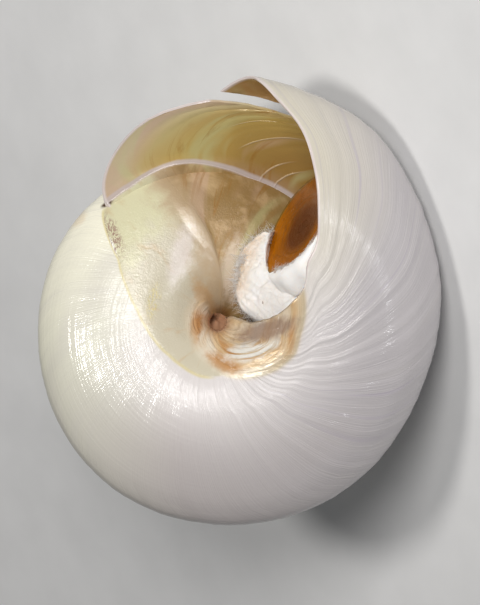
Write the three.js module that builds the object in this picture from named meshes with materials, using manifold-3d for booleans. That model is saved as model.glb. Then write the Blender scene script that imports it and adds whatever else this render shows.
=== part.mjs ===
// A slit shell with its horny lid and the tuft of cotton that holds the lid in the mouth.
// Millimetres, +Z up, the shell lying on its side with its base turned up towards -Y.
//
// The shell is a spiral in which every measure grows by one fixed ratio in a turn, about its apex.
// In the shell's own frame the apex is the origin and the axis runs along +Z from apex to base.
// A point of the wall is given by two numbers: its growth angle, 0 at the lip and less behind it,
// and its place on the profile, which runs from the suture over the roof, the slit and the
// periphery, across the base to the pit, and up the pit's wall to the turn before.
import * as THREE from "three";
import { mergeVertices } from "three/addons/utils/BufferGeometryUtils.js";
import Module from "manifold-3d";

// Coiling: shares are of the whorl radius, from the axis to the periphery
const LIP_RADIUS = 61;
const LIP_AZIMUTH = 85;
const TURN_RATIO = 1.5;
const APEX_SHARE = 1.18;
const TURNS = 6.5;
const FIRST_TURN = 360;
const HOLLOW_TURNS = 1.8;

// Growth lines sweep across the base less in the older shell: share of the sweep, and where it ends
const OLD_SWEEP = 0.35;
const OLD_SWEEP_ANGLE = -150;

// Wall and slit
const WALL_SHARE = 0.02;
const LIP_THICKNESS = 0.7;
const LIP_TAPER_ANGLE = 30;
const SLIT_ANGLE = 48;

// Slow swellings of the periphery: growth angle, half width in degrees, share of the radius
const SWELLINGS = [
  [-30, 16, 0.033],
  [-100, 24, -0.025],
  [-200, 20, 0.008],
  [-255, 26, -0.017],
];
const SWELLING_FROM = 0.8;

// Horny lid, a thin dished disc, and where it stands in the mouth
const LID_RADIUS = 14.2;
const LID_THICKNESS = 0.8;
const LID_EDGE_THICKNESS = 0.5;
const LID_DISH = 0.9;
const LID_CENTRE = [21.3, 23.15, 70.7];
const LID_FACING = [-0.802, 0.445, 0.398];
const LID_SIDES = 32;
const LID_RINGS = 4;

// Tuft of cotton behind the lid, heaped up towards the lip and thin where it lies on the wall
const TUFT_CENTRE = [17, 10, 69.5];
const TUFT_RADIUS = 12.5;
const TUFT_RISE = 5;
const TUFT_DROP = 9;
const TUFT_HEAP = 12.5;
const TUFT_HEAP_RATE = 1.45;
const TUFT_HEAP_MIDDLE = 0.05;
const TUFT_BULGE = 2;
const TUFT_LUMP = 0.6;
const TUFT_LUMP_WAVES = [5, 6, 3];
const TUFT_LUMP_SHIFTS = [2, -1, 0];
const TUFT_EDGE = 0.1;
const TUFT_SIDES = 26;
const TUFT_RINGS = 12;
const CLEARANCE = 0.5;
const CEILING_GAP = CLEARANCE + WALL_SHARE * LIP_RADIUS;

// How the shell lies: turned about its axis, then leant over, then set on the ground
const REST_ROLL = -112.744;
const REST_LEAN = 49.109;
const REST_POSITION = [-0.8, 46.31, 0.35];

// Mesh steps
const COLUMNS_PER_TURN = 30;
const COLUMN_ANGLE = 360 / COLUMNS_PER_TURN;

// The next whorl's suture sits this far ahead of the row that carries it
const SUTURE_LEAD = 60;

// Each profile point: distance from the axis, height towards the base, azimuth on the lip
const JOINT = [0.925, 0.15, 74];
const SUTURE = [
  JOINT[0] / TURN_RATIO,
  (APEX_SHARE + JOINT[1]) / TURN_RATIO - APEX_SHARE,
  JOINT[2] + SUTURE_LEAD,
];
const ROOF = [
  SUTURE,
  [0.7, -0.27, 129],
  [0.785, -0.236, 119.5],
  [0.85, -0.198, 108],
];
const SLIT_EDGES = [
  [0.893, -0.162, 92.5],
  [0.932, -0.12, 89],
];
const SIDE = [
  [0.975, -0.058, 85.5],
  [1.0, 0.012, 82],
  [0.985, 0.083, 79.5],
  JOINT,
];
const BASE = [
  [0.85, 0.203, 65.5],
  [0.74, 0.256, 57],
  [0.63, 0.29, 48],
  [0.53, 0.308, 38],
  [0.45, 0.316, 32],
  [0.4, 0.317, 21.5],
  [0.33, 0.31, 13.5],
  [0.26, 0.288, 6],
  [0.19, 0.25, 0],
  [0.13, 0.205, -3],
  [0.085, 0.155, 5],
  [0.042, 0.1, 18],
];
const PROFILE = [...ROOF, ...SLIT_EDGES, ...SIDE, ...BASE];

// Places on the profile, counted in points from the suture
const SLIT_START = ROOF.length;
const SLIT_END = SLIT_START + 1;
const JOINT_PLACE = PROFILE.indexOf(JOINT);
const PIT_PLACE = PROFILE.length - 1;
const AXIS_PLACE = PIT_PLACE + 1;

// The rows of the mesh, with a row one wall thickness from the joint and one from the pit
const WALL_STEP = 0.3;
const BASE_STEPS = [WALL_STEP, 1, 2, 3, 4, 5.5, 7, 8, 9.3, 10.5];
const PIT_WALL_STEPS = [0.35, 0.7];
const PLACES = [
  ...range(0, JOINT_PLACE),
  ...BASE_STEPS.map((step) => JOINT_PLACE + step),
  PIT_PLACE - WALL_STEP,
  PIT_PLACE,
  ...PIT_WALL_STEPS.map((step) => PIT_PLACE + step),
  AXIS_PLACE,
];
const JOINT_ROW = PLACES.indexOf(JOINT_PLACE);
const PIT_ROW = PLACES.indexOf(PIT_PLACE);
const AXIS_ROW = PLACES.length - 1;
const SLIT_ROWS = [PLACES.indexOf(SLIT_START), PLACES.indexOf(SLIT_END)];

// The columns of the mesh, from the apex to the lip
const LAST = Math.round(TURNS * COLUMNS_PER_TURN);
const HOLLOW_START = LAST - Math.round(HOLLOW_TURNS * COLUMNS_PER_TURN);
const SUTURE_SHIFT = COLUMNS_PER_TURN - Math.round(SUTURE_LEAD / COLUMN_ANGLE);
const SLIT_COLUMN = LAST - Math.round(SLIT_ANGLE / COLUMN_ANGLE);

function range(from, to) {
  return Array.from({ length: to - from + 1 }, (_, k) => from + k);
}

const rad = THREE.MathUtils.degToRad;
const GROWTH = Math.log(TURN_RATIO) / (2 * Math.PI);

const profileCurve = new THREE.CatmullRomCurve3(
  PROFILE.map((p) => new THREE.Vector3(...p)),
  false,
  "catmullrom",
);

// How far growth lines sweep across the base, as a share of their sweep at the lip
function sweepShare(growthAngle) {
  const newness = THREE.MathUtils.smoothstep(growthAngle, OLD_SWEEP_ANGLE, 0);
  return THREE.MathUtils.lerp(OLD_SWEEP, 1, newness);
}

// Radius of the whorl at an azimuth, falling to nothing in the first turn
function whorlRadius(azimuth, growthAngle) {
  const start = THREE.MathUtils.smoothstep(growthAngle + 360 * TURNS, 0, FIRST_TURN);
  return start * LIP_RADIUS * Math.exp(GROWTH * rad(azimuth - LIP_AZIMUTH));
}

// How far the periphery stands out of the even spiral at a growth angle
function swelling(growthAngle) {
  return SWELLINGS.reduce(
    (sum, [middle, width, share]) => sum + share * Math.exp(-(((growthAngle - middle) / width) ** 2)),
    0,
  );
}

// A point of the outer surface
function surfacePoint(growthAngle, place) {
  if (place > PIT_PLACE) {
    const below = surfacePoint(growthAngle, PIT_PLACE);
    return below.lerp(surfacePoint(growthAngle - 360, PIT_PLACE), place - PIT_PLACE);
  }
  const { x: share, y: height, z: lipAzimuth } = profileCurve.getPoint(place / PIT_PLACE);
  const sweep = place > JOINT_PLACE ? sweepShare(growthAngle) : 1;
  const azimuth = growthAngle + JOINT[2] + sweep * (lipAzimuth - JOINT[2]);
  const radius = whorlRadius(azimuth, growthAngle);
  const swollen = swelling(growthAngle) * THREE.MathUtils.smoothstep(share, SWELLING_FROM, 1);
  const distance = radius * share * (1 + swollen);
  return new THREE.Vector3(
    distance * Math.cos(rad(azimuth)),
    distance * Math.sin(rad(azimuth)),
    radius * (APEX_SHARE + height),
  );
}

// The outer surface as columns of points, with each suture on the whorl before it
function outerColumns() {
  const columns = [];
  for (let i = 0; i <= LAST; i++) {
    const growthAngle = (i - LAST) * COLUMN_ANGLE;
    const column = PLACES.map((place) => surfacePoint(growthAngle, place));
    const carrier = columns[i - SUTURE_SHIFT];
    const seam = carrier ? carrier[JOINT_ROW] : new THREE.Vector3();
    const gap = seam.clone().sub(column[0]);
    for (let j = 0; j < JOINT_ROW; j++) {
      column[j].addScaledVector(gap, (1 - PLACES[j] / JOINT_PLACE) ** 2);
    }
    if (i >= COLUMNS_PER_TURN) {
      column[AXIS_ROW].copy(columns[i - COLUMNS_PER_TURN][PIT_ROW]);
    }
    columns.push(column);
  }
  return columns;
}

// The inner surface: the outer one moved in by the wall's thickness, which thins at the lip
function innerColumns(outer) {
  const columns = [];
  for (let i = HOLLOW_START; i <= LAST; i++) {
    const behindLip = (LAST - i) * COLUMN_ANGLE;
    const full = WALL_SHARE * whorlRadius(LIP_AZIMUTH - behindLip, -behindLip);
    const thickness = THREE.MathUtils.lerp(
      LIP_THICKNESS,
      full,
      THREE.MathUtils.smoothstep(behindLip, 0, LIP_TAPER_ANGLE),
    );
    const [before, after] = [outer[i - 1], outer[Math.min(i + 1, LAST)]];
    columns[i] = outer[i].map((point, j) => {
      const up = outer[i][Math.min(j + 1, AXIS_ROW)];
      const down = outer[i][Math.max(j - 1, 0)];
      const along = after[j].clone().sub(before[j]);
      const inward = up.clone().sub(down).cross(along).normalize();
      return point.clone().addScaledVector(inward, thickness);
    });
  }
  return columns;
}

// Gathers shared vertices and triangles into one closed mesh
class SolidMesh {
  positions = [];
  triangles = [];
  ids = new Map();

  vertex(key, point) {
    if (!this.ids.has(key)) {
      this.ids.set(key, this.positions.length / 3);
      this.positions.push(point.x, point.y, point.z);
    }
    return this.ids.get(key);
  }

  triangle(a, b, c) {
    if (a !== b && b !== c && c !== a) this.triangles.push(a, b, c);
  }

  quad(a, b, c, d) {
    this.triangle(a, b, c);
    this.triangle(a, c, d);
  }

  // A fan over a closed loop of vertices, about the loop's mean point
  cap(loop, key) {
    const middle = new THREE.Vector3();
    for (const id of loop) {
      middle.add(new THREE.Vector3().fromArray(this.positions, 3 * id));
    }
    const centre = this.vertex(key, middle.divideScalar(loop.length));
    loop.forEach((id, k) => this.triangle(centre, id, loop[(k + 1) % loop.length]));
  }

  geometry() {
    const geometry = new THREE.BufferGeometry();
    geometry.setAttribute("position", new THREE.Float32BufferAttribute(this.positions, 3));
    geometry.setIndex(this.triangles);
    geometry.computeVertexNormals();
    return geometry;
  }
}

function shellGeometry() {
  const outerPoints = outerColumns();
  const innerPoints = innerColumns(outerPoints);
  const mesh = new SolidMesh();

  // Vertices on a suture or on the pit's wall belong to the whorl before
  function outer(i, j) {
    if (i <= 0) return mesh.vertex("apex", outerPoints[0][0]);
    if (j === 0) return outer(i - SUTURE_SHIFT, JOINT_ROW);
    if (j === AXIS_ROW) return outer(i - COLUMNS_PER_TURN, PIT_ROW);
    return mesh.vertex(`outer ${i} ${j}`, outerPoints[i][j]);
  }
  function inner(i, j) {
    if (j === 0) return outer(i - SUTURE_SHIFT, JOINT_ROW + 1);
    if (j === AXIS_ROW) return outer(i - COLUMNS_PER_TURN, PIT_ROW - 1);
    return mesh.vertex(`inner ${i} ${j}`, innerPoints[i][j]);
  }

  const inSlitRows = (j) => j >= SLIT_ROWS[0] && j < SLIT_ROWS[1];
  const open = (i, j) => inSlitRows(j) && i >= SLIT_COLUMN;

  // The first column in which the outer surface shows between rows j and j + 1
  const baseStart = HOLLOW_START - SUTURE_SHIFT;
  function firstColumn(j) {
    if (j < JOINT_ROW) return 0;
    if (j === JOINT_ROW) return LAST - SUTURE_SHIFT;
    if (j < PIT_ROW - 1) return baseStart;
    if (j === PIT_ROW - 1) return LAST - COLUMNS_PER_TURN;
    return HOLLOW_START;
  }
  for (let j = 0; j < AXIS_ROW; j++) {
    for (let i = firstColumn(j); i < LAST; i++) {
      if (!open(i, j)) mesh.quad(outer(i, j), outer(i + 1, j), outer(i + 1, j + 1), outer(i, j + 1));
    }
    for (let i = HOLLOW_START; i < LAST; i++) {
      if (!open(i, j)) mesh.quad(inner(i, j), inner(i, j + 1), inner(i + 1, j + 1), inner(i + 1, j));
    }
    if (!inSlitRows(j)) {
      mesh.quad(outer(LAST, j), inner(LAST, j), inner(LAST, j + 1), outer(LAST, j + 1));
    } else {
      const i = SLIT_COLUMN;
      mesh.quad(outer(i, j), inner(i, j), inner(i, j + 1), outer(i, j + 1));
    }
  }
  for (let i = SLIT_COLUMN; i < LAST; i++) {
    const [top, bottom] = SLIT_ROWS;
    mesh.quad(outer(i, top), outer(i + 1, top), inner(i + 1, top), inner(i, top));
    mesh.quad(outer(i, bottom), inner(i, bottom), inner(i + 1, bottom), outer(i + 1, bottom));
  }

  const hollowLoop = [
    ...range(0, AXIS_ROW).map((j) => inner(HOLLOW_START, j)),
    ...range(HOLLOW_START - COLUMNS_PER_TURN + 1, baseStart).map((i) => outer(i, PIT_ROW - 1)),
    ...range(JOINT_ROW + 2, PIT_ROW - 2).reverse().map((j) => outer(baseStart, j)),
  ];
  mesh.cap(hollowLoop.reverse(), "hollow end");
  const pitLoop = [
    ...range(PIT_ROW, AXIS_ROW).map((j) => outer(HOLLOW_START, j)),
    ...range(HOLLOW_START - COLUMNS_PER_TURN + 1, HOLLOW_START - 1).map((i) => outer(i, PIT_ROW)),
  ];
  mesh.cap(pitLoop, "pit end");
  return mesh.geometry();
}

// The lid, from the middle of its under side round its edge to the middle of its top, made
// larger all round by a margin
function lidGeometry(margin = 0) {
  const outline = [];
  for (const side of [-1, 1]) {
    for (const ring of range(0, LID_RINGS)) {
      const share = (side < 0 ? ring : LID_RINGS - ring) / LID_RINGS;
      const distance = share * (LID_RADIUS + margin);
      const thickness = THREE.MathUtils.lerp(LID_THICKNESS, LID_EDGE_THICKNESS, share);
      const middle = LID_DISH * (distance / LID_RADIUS) ** 2;
      outline.push(new THREE.Vector2(distance, middle + side * (thickness / 2 + margin)));
    }
  }
  const facing = new THREE.Vector3(...LID_FACING).normalize();
  const turn = new THREE.Quaternion().setFromUnitVectors(new THREE.Vector3(0, 1, 0), facing);
  return new THREE.LatheGeometry(outline, LID_SIDES)
    .applyQuaternion(turn)
    .translate(...LID_CENTRE);
}

// Height of the base at a place, in the shell's own frame, on the last whorl or some turns before it
function baseHeight(x, y, turnsBack) {
  const azimuth = THREE.MathUtils.radToDeg(Math.atan2(y, x)) - 360 * turnsBack;
  const radius = whorlRadius(azimuth, -360 * turnsBack);
  const share = Math.hypot(x, y) / radius;
  const points = BASE.map(([distance, height]) => ({ distance, height }));
  const k = Math.max(1, points.findIndex(({ distance }) => distance < share));
  const [outer, inner] = [points[k - 1], points[k]];
  const height = THREE.MathUtils.mapLinear(
    share,
    outer.distance,
    inner.distance,
    outer.height,
    inner.height,
  );
  return radius * (APEX_SHARE + height);
}

// Height under which the tuft passes below the lid at a place, bulging up outside the lid's edge
function lidUnderside(x, y) {
  const facing = new THREE.Vector3(...LID_FACING).normalize();
  const [centreX, centreY, centreZ] = LID_CENTRE;
  const offset = new THREE.Vector3(x - centreX, y - centreY, 0);
  offset.z = -offset.dot(facing) / facing.z;
  const reach = offset.length() / LID_RADIUS;
  const share = Math.min(reach, 1);
  const inward = share / reach;
  const below = LID_THICKNESS / 2 + CLEARANCE - LID_DISH * share ** 2;
  const bulge = TUFT_BULGE * Math.hypot(offset.x, offset.y) * (1 - inward);
  return centreZ + offset.z * inward - below / facing.z + bulge;
}

// A lumpy cushion that rises towards the lip, between the wall of the whorl before and the base
function tuftGeometry() {
  const geometry = new THREE.SphereGeometry(1, TUFT_SIDES, TUFT_RINGS).rotateX(Math.PI / 2);
  const position = geometry.getAttribute("position");
  const [middleX, middleY, middleZ] = TUFT_CENTRE;
  const [waveX, waveY, waveZ] = TUFT_LUMP_WAVES;
  const [shiftX, shiftY, shiftZ] = TUFT_LUMP_SHIFTS;
  for (let k = 0; k < position.count; k++) {
    const [x, y, z] = [position.getX(k), position.getY(k), position.getZ(k)];
    const ripple = Math.sin(waveX * x + shiftX) * Math.cos(waveY * y + shiftY) * Math.cos(waveZ * z + shiftZ);
    const lump = TUFT_LUMP * ripple;
    const placeX = middleX + (TUFT_RADIUS + lump) * x;
    const placeY = middleY + (TUFT_RADIUS + lump) * y;
    const heap = TUFT_HEAP * Math.tanh(TUFT_HEAP_RATE * (x - TUFT_HEAP_MIDDLE));
    const height = middleZ + (z > 0 ? TUFT_RISE : TUFT_DROP) * z + heap + lump;
    const floor = baseHeight(placeX, placeY, 1) + CLEARANCE + TUFT_EDGE * (z + 1);
    const roof = Math.min(baseHeight(placeX, placeY, 0) - CEILING_GAP, lidUnderside(placeX, placeY));
    const ceiling = Math.max(roof, floor) - TUFT_EDGE * (1 - z);
    position.setXYZ(k, placeX, placeY, Math.min(Math.max(height, floor), ceiling));
  }
  return geometry;
}

const wasm = await Module();
wasm.setup();

// A closed geometry as a solid that can be cut
function solidOf(geometry) {
  const bare = geometry.clone();
  bare.deleteAttribute("normal");
  bare.deleteAttribute("uv");
  const merged = mergeVertices(bare, 1e-3);
  return new wasm.Manifold(
    new wasm.Mesh({
      numProp: 3,
      vertProperties: merged.attributes.position.array,
      triVerts: new Uint32Array(merged.index.array),
    }),
  );
}

function geometryOf(solid) {
  const { vertProperties, triVerts } = solid.getMesh();
  const geometry = new THREE.BufferGeometry();
  geometry.setAttribute("position", new THREE.BufferAttribute(vertProperties, 3));
  geometry.setIndex(new THREE.BufferAttribute(triVerts, 1));
  geometry.computeVertexNormals();
  return geometry;
}

// The tuft parts where the lid presses into it
function partedTuftGeometry() {
  return geometryOf(solidOf(tuftGeometry()).subtract(solidOf(lidGeometry(CLEARANCE))));
}

function piece(name, geometry, look) {
  const mesh = new THREE.Mesh(geometry, new THREE.MeshStandardMaterial(look));
  mesh.name = name;
  return mesh;
}

const group = new THREE.Group();
group.add(
  piece("shell", shellGeometry(), { color: 0xe9e4dc, roughness: 0.25, metalness: 0 }),
  piece("operculum", lidGeometry(), { color: 0xa8660f, roughness: 0.3, metalness: 0 }),
  piece("cotton_wad", partedTuftGeometry(), { color: 0xf4f1ec, roughness: 1, metalness: 0 }),
);
group.rotation.set(rad(REST_LEAN), 0, rad(REST_ROLL));
group.position.set(...REST_POSITION);

export default group;
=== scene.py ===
"""A slit shell on its side, seen along its axis, with its horny lid and the tuft of cotton beside it.

The shell's own frame has the apex at its origin and its axis along +Z, from apex to base, with the
photograph's right as +X and its up as +Y. Lengths in that frame are millimetres. A point of the wall
is given by its growth angle, 0 at the lip and less behind it, and by its place on the profile.
"""
import math

import bpy
import numpy as np
from mathutils import Matrix, Vector


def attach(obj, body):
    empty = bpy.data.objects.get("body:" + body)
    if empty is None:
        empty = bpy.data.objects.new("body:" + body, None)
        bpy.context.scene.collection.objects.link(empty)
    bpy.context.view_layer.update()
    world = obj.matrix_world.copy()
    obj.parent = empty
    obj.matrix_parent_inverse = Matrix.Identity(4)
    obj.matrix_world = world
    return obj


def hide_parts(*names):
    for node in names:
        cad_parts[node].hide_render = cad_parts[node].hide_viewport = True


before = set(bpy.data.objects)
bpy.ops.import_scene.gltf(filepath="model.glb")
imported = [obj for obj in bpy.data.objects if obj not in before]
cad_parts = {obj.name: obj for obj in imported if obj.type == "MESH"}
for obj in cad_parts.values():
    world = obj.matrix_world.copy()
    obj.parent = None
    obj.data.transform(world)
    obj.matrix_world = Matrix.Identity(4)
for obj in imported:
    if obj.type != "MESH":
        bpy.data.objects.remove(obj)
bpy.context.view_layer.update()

MM = 0.001

# Coiling, as in the solid
LIP_RADIUS = 61.0
LIP_AZIMUTH = 85.0
TURN_RATIO = 1.5
APEX_SHARE = 1.18
TURNS = 6.5
HOLLOW_TURNS = 1.8
WALL_SHARE = 0.02
LIP_THICKNESS = 0.7
LIP_TAPER_ANGLE = 30.0
SLIT_ANGLE = 48.0
SWELLINGS = ((-30, 16, 0.033), (-100, 24, -0.025), (-200, 20, 0.008), (-255, 26, -0.017))
SWELLING_FROM = 0.8
SUTURE_LEAD = 60.0
OLD_SWEEP = 0.35
OLD_SWEEP_ANGLE = -150.0
GROWTH = math.log(TURN_RATIO) / (2 * math.pi)

# How the shell lies, as in the solid
REST_ROLL = -112.744
REST_LEAN = 49.109
REST_POSITION = (-0.8, 46.31, 0.35)

# Profile points: distance from the axis, height towards the base, azimuth on the lip
JOINT = (0.925, 0.15, 74)
SUTURE = (
    JOINT[0] / TURN_RATIO,
    (APEX_SHARE + JOINT[1]) / TURN_RATIO - APEX_SHARE,
    JOINT[2] + SUTURE_LEAD,
)
ROOF = (SUTURE, (0.7, -0.27, 129), (0.785, -0.236, 119.5), (0.85, -0.198, 108))
SLIT_EDGES = ((0.893, -0.162, 92.5), (0.932, -0.12, 89))
SIDE = ((0.975, -0.058, 85.5), (1.0, 0.012, 82), (0.985, 0.083, 79.5), JOINT)
BASE = (
    (0.85, 0.203, 65.5), (0.74, 0.256, 57), (0.63, 0.29, 48), (0.53, 0.308, 38), (0.45, 0.316, 32),
    (0.4, 0.317, 21.5), (0.33, 0.31, 13.5), (0.26, 0.288, 6), (0.19, 0.25, 0), (0.13, 0.205, -3),
    (0.085, 0.155, 5), (0.042, 0.1, 18),
)
PROFILE = np.array(ROOF + SLIT_EDGES + SIDE + BASE, float)
SLIT_START = len(ROOF)
SLIT_END = SLIT_START + 1
JOINT_PLACE = len(ROOF) + len(SLIT_EDGES) + len(SIDE) - 1
PIT_PLACE = len(PROFILE) - 1
WALL_STEP = 0.3

# Mesh steps: columns in a turn, and millimetres between rows at the lip
COLUMNS_PER_TURN = 240
COLUMN_ANGLE = 360 / COLUMNS_PER_TURN
ROW_STEP = 1.25
PIT_WALL_STEPS = (0.15, 0.3, 0.45, 0.6, 0.75, 0.9, 1.0)

LAST = round(TURNS * COLUMNS_PER_TURN)
HOLLOW_START = LAST - round(HOLLOW_TURNS * COLUMNS_PER_TURN)
SUTURE_SHIFT = COLUMNS_PER_TURN - round(SUTURE_LEAD / COLUMN_ANGLE)
SLIT_COLUMN = LAST - round(SLIT_ANGLE / COLUMN_ANGLE)


def smoothstep(value, low, high):
    share = np.clip((value - low) / (high - low), 0, 1)
    return share * share * (3 - 2 * share)


def window(value, low, full, fading, high):
    """Rises from 0 at low to 1 at full, and falls from fading to 0 at high."""
    return smoothstep(value, low, full) * (1 - smoothstep(value, fading, high))


def hump(value, middle, width):
    return np.exp(-(((value - middle) / width) ** 2))


def flipped(corners):
    """The same corners the other way round, from the same first one."""
    return corners[:1] + corners[:0:-1]


def profile_at(place):
    """Distance, height and lip azimuth at a place, by a curve through the profile's points."""
    first = 2 * PROFILE[0] - PROFILE[1]
    last = 2 * PROFILE[-1] - PROFILE[-2]
    points = np.vstack([first, PROFILE, last])
    k = np.clip(np.floor(place).astype(int), 0, len(PROFILE) - 2)
    w = (np.asarray(place, float) - k)[..., None]
    p0, p1, p2, p3 = (points[k + n] for n in range(4))
    t1, t2 = (p2 - p0) / 2, (p3 - p1) / 2
    cubic = 2 * p1 - 2 * p2 + t1 + t2
    square = -3 * p1 + 3 * p2 - 2 * t1 - t2
    found = ((cubic * w + square) * w + t1) * w + p1
    return found[..., 0], found[..., 1], found[..., 2]


def sweep_share(growth):
    return OLD_SWEEP + (1 - OLD_SWEEP) * smoothstep(growth, OLD_SWEEP_ANGLE, 0)


def whorl_radius(azimuth, growth):
    start = smoothstep(growth + 360 * TURNS, 0, 360)
    return start * LIP_RADIUS * np.exp(GROWTH * np.radians(azimuth - LIP_AZIMUTH))


def swelling(growth):
    return sum(share * hump(growth, middle, width) for middle, width, share in SWELLINGS)


def azimuth_at(growth, place):
    lip_azimuth = profile_at(np.minimum(place, PIT_PLACE))[2]
    sweep = np.where(place > JOINT_PLACE, sweep_share(growth), 1)
    return growth + JOINT[2] + sweep * (lip_azimuth - JOINT[2])


def wall_points(growth, place):
    share, height, _ = profile_at(place)
    azimuth = azimuth_at(growth, place)
    radius = whorl_radius(azimuth, growth)
    swollen = swelling(growth) * smoothstep(share, SWELLING_FROM, 1)
    distance = radius * share * (1 + swollen)
    turn = np.radians(azimuth)
    return np.stack([distance * np.cos(turn), distance * np.sin(turn), radius * (APEX_SHARE + height)], -1)


def arc_of_places():
    """Places, and the length along the profile up to each, in millimetres at the lip."""
    fine = np.linspace(0, PIT_PLACE, 2000)
    share, height, _ = profile_at(fine)
    arc = np.concatenate([[0], np.cumsum(np.hypot(np.diff(share), np.diff(height)))])
    return fine, arc * LIP_RADIUS


def row_places():
    """Places of the mesh's rows, about ROW_STEP apart at the lip, with one at each edge that counts."""
    fine, arc = arc_of_places()
    joint_end, pit_start = JOINT_PLACE + WALL_STEP, PIT_PLACE - WALL_STEP
    stops = [0, SLIT_START, SLIT_END, JOINT_PLACE, joint_end, pit_start, PIT_PLACE]
    single = {(JOINT_PLACE, joint_end), (pit_start, PIT_PLACE)}
    places = [0.0]
    for low, high in zip(stops, stops[1:]):
        start, end = np.interp([low, high], fine, arc)
        steps = 1 if (low, high) in single else max(2, round((end - start) / ROW_STEP))
        places += list(np.interp(np.linspace(start, end, steps + 1)[1:], arc, fine))
    return np.array(places + [PIT_PLACE + w for w in PIT_WALL_STEPS])


PLACES = row_places()


def row_of(place):
    return int(np.argmin(np.abs(PLACES - place)))


JOINT_ROW = row_of(JOINT_PLACE)
PIT_ROW = row_of(PIT_PLACE)
AXIS_ROW = len(PLACES) - 1
SLIT_ROWS = (row_of(SLIT_START), row_of(SLIT_END))
GROWTHS = (np.arange(LAST + 1) - LAST) * COLUMN_ANGLE


def unit(vectors):
    return vectors / np.maximum(np.linalg.norm(vectors, axis=-1, keepdims=True), 1e-12)


def normals_of(points):
    return unit(np.cross(np.gradient(points, axis=0), np.gradient(points, axis=1)))


# Lines on the base and in the mouth, as azimuth, counted on from the lip's, and distance from the axis
OUTER_EDGE = ((-84, 13.2), (-53, 16.8), (-37, 19), (-22, 20.7), (-9, 20.7), (5, 21.7), (21, 22.7))
GLAZE_EDGE = (
    (-228, 60), (-226, 40.5), (-222, 38), (-212, 28.5), (-201, 23.7), (-189, 19.8), (-175, 17.3),
    (-163, 15.8), (-145, 14.2), (-128, 13.7), (-107, 13.8), *OUTER_EDGE,
)
GOLD_EDGE = ((-330, 12), (-250, 8), (-189, 7.8), (-147, 7.6), (-99, 11.1), *OUTER_EDGE)
RIDGE = ((9.3, -276), (15.4, -269), (20.2, -265), (26.6, -259), (31.7, -256), (38, -252))


def edge_distance(edge, azimuth, distance):
    """How far inside an edge a point lies, in millimetres, measured towards the axis."""
    turns, radii = np.array(edge, float).T
    return np.interp(azimuth, turns, radii) - distance


def ridge_distance(azimuth, distance):
    """How far past the ridge on the mouth's wall a point lies, on the golden side, in millimetres."""
    radii, turns = np.array(RIDGE, float).T
    return np.radians(np.interp(distance, radii, turns) - azimuth) * distance


# Where the callus along the seam in the mouth ends on the roof: roof growth angle, place
CALLUS_EDGE = (
    (-60, 0.0), (-55, 0.02), (-44, 0.2), (-33, 0.41), (-27, 0.46), (-22, 0.4), (-11, 0.19), (0, 0.14),
)
ROOF_PLACE_MM = 5.0
WALL_PLACE_MM = 3.7
SEAM_GROWTH = -301.0


def callus_distance(growth, place, inside):
    """Millimetres out over the roof from the callus's edge; less than 0 on the side of the wall."""
    angles, places = np.array(CALLUS_EDGE, float).T
    roof = ROOF_PLACE_MM * (place - np.interp(growth, angles, places))
    on_wall = -ROOF_PLACE_MM * np.interp(growth - SEAM_GROWTH, angles, places)
    return np.where(inside > 0.5, roof, on_wall - WALL_PLACE_MM * (place - JOINT_PLACE))


def waves(value, seed, count=5, low=1.0, high=3.0):
    """An uneven wave along one number, between about -1 and 1, the same each run."""
    draw = np.random.default_rng(seed)
    rates = draw.uniform(low, high, count)
    shifts = draw.uniform(0, 2 * math.pi, count)
    return sum(np.sin(rate * value + shift) for rate, shift in zip(rates, shifts)) / math.sqrt(count)


# Relief of the outer wall, in millimetres, which stays within the solid's box
INSET = 0.28
GROWTH_WAVE = 0.07
GROWTH_SCAR = (-53.0, 1.6, 0.08)
BAND_DEPTH = 0.3
GLAZE_LIFT = 0.18
GLAZE_LIFT_FROM = -95
RIDGE_HEIGHT = 0.6
RIDGE_WIDTH = 0.8
RIDGE_SPAN = (6, 12, 29, 34)
RIDGE_GROWTH = -250
CREASE_SHARE = 0.45
CREASE_BEHIND = 3.6
CREASE_WIDTH = 0.7
BEAD_HEIGHT = 0.5
BEAD_WIDTH = 0.8
WRINKLE = 0.2


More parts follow.
